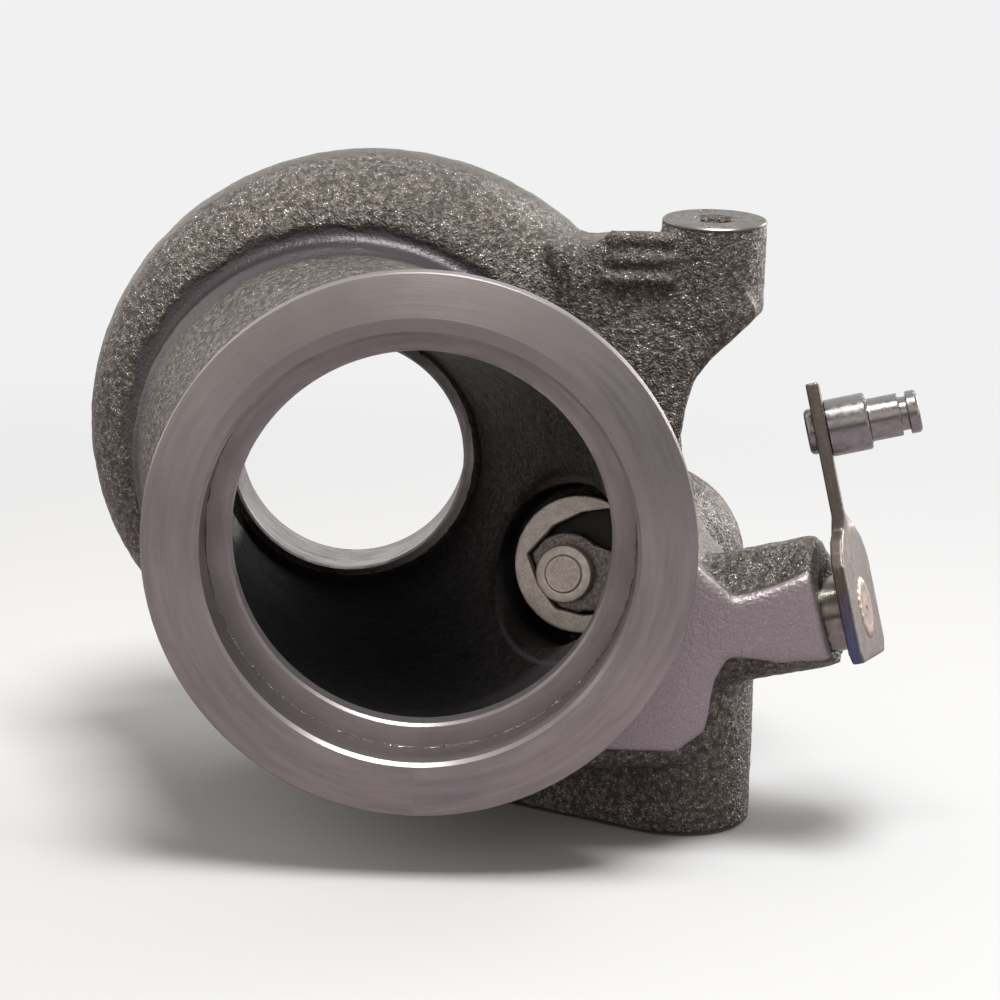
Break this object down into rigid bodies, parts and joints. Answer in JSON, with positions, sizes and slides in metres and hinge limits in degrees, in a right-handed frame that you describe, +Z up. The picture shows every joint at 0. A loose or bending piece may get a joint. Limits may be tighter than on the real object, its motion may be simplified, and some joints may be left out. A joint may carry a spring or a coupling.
{
  "type": "turbine housing",
  "caption": "Cast turbine housing of a small turbocharger with scroll, inlet flange, clamp-ring outlet and a built-in wastegate valve worked by an outside lever.",
  "frame": {"origin": "centre of the bearing housing's joint face, on the rotor axis", "axes": "+Y along the rotor axis, out of the bearing side; the gas outlet looks along -Y; +Z up, away from the inlet flange's face"},
  "size_m": [0.1206, 0.0932, 0.093],
  "materials": {
    "cast_housing": "sand-cast, with turned faces",
    "bush_steel": "turned",
    "shaft_steel": "ground",
    "valve_alloy": "matte, heat-browned",
    "arm_alloy": "investment-cast, dark",
    "lever_steel": "pressed plate with heat tint",
    "weld_metal": "as welded",
    "pin_steel": "turned, bright"
  },
  "bodies": {
    "housing": {"turbine_housing": "cast_housing", "wastegate_bush": "bush_steel"},
    "crank": {"wastegate_shaft": "shaft_steel", "valve_arm": "arm_alloy", "arm_weld": "weld_metal", "outer_lever": "lever_steel", "lever_weld": "weld_metal", "actuator_pin": "pin_steel"},
    "valve": {"valve_disc": "valve_alloy", "valve_washer": "pin_steel"}
  },
  "joints": [
    {"name": "wastegate_swing", "type": "hinge", "parent": "housing", "child": "crank", "pos_m": [0.038, -0.0509, -0.0252], "axis": [0.9346, -0.233, 0.2689], "range_deg": [0, 35]},
    {"name": "valve_swivel", "type": "hinge", "parent": "crank", "child": "valve", "pos_m": [0.03265, -0.04682, -0.01423], "axis": [0.2836, 0.9443, -0.1673], "range_deg": [-2.5, 2.5]}
  ]
}
